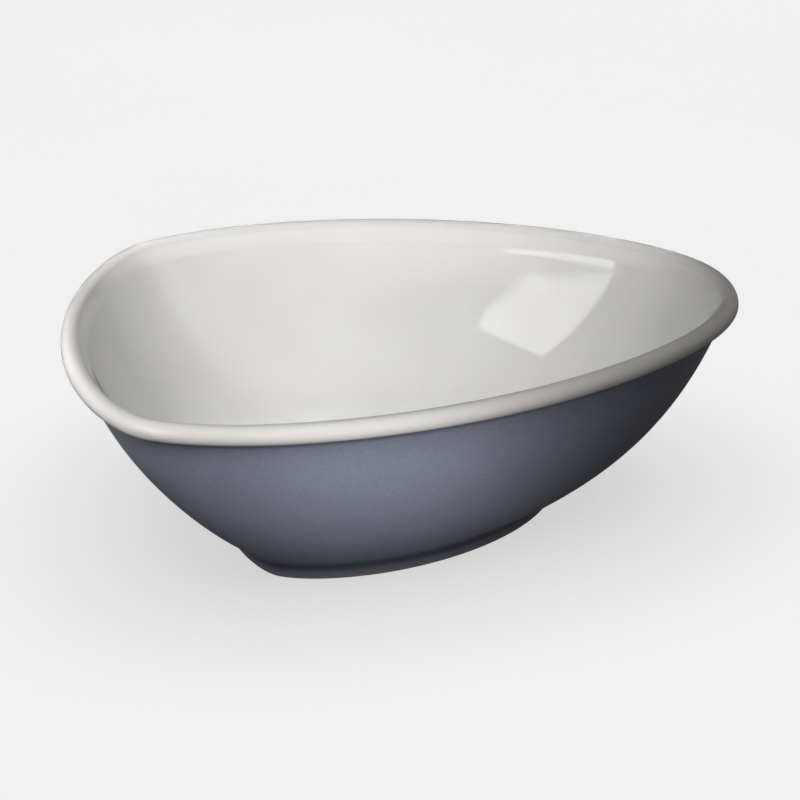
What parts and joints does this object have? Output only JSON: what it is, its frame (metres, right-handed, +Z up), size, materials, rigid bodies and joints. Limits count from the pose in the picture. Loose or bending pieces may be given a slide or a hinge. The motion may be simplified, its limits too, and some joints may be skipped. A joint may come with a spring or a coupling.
{
  "type": "serving bowl",
  "caption": "Egg-shaped glazed ceramic serving bowl with a rolled rim, a wall that bulges outwards and a low foot ring, for chips or salad.",
  "frame": {"origin": "on the table plane under the middle of the rim's length and width", "axes": "+Z up out of the bowl, +X from the broad heel towards the narrow tip, +Y across the bowl"},
  "size_m": [0.28, 0.2104, 0.087],
  "materials": {
    "clay": "bare fired clay, ground flat and slightly rough where it meets the table",
    "white_glaze": "glossy white glaze, thick in the hollows and thin over the rim",
    "slate_glaze": "glossy slate grey-blue glaze with slight tonal variation"
  },
  "bodies": {
    "root": {"bowl_wall": "clay", "rolled_rim": "clay", "foot_ring": "clay", "inner_glaze": "white_glaze", "outer_glaze": "slate_glaze", "foot_well_glaze": "slate_glaze"}
  },
  "joints": []
}
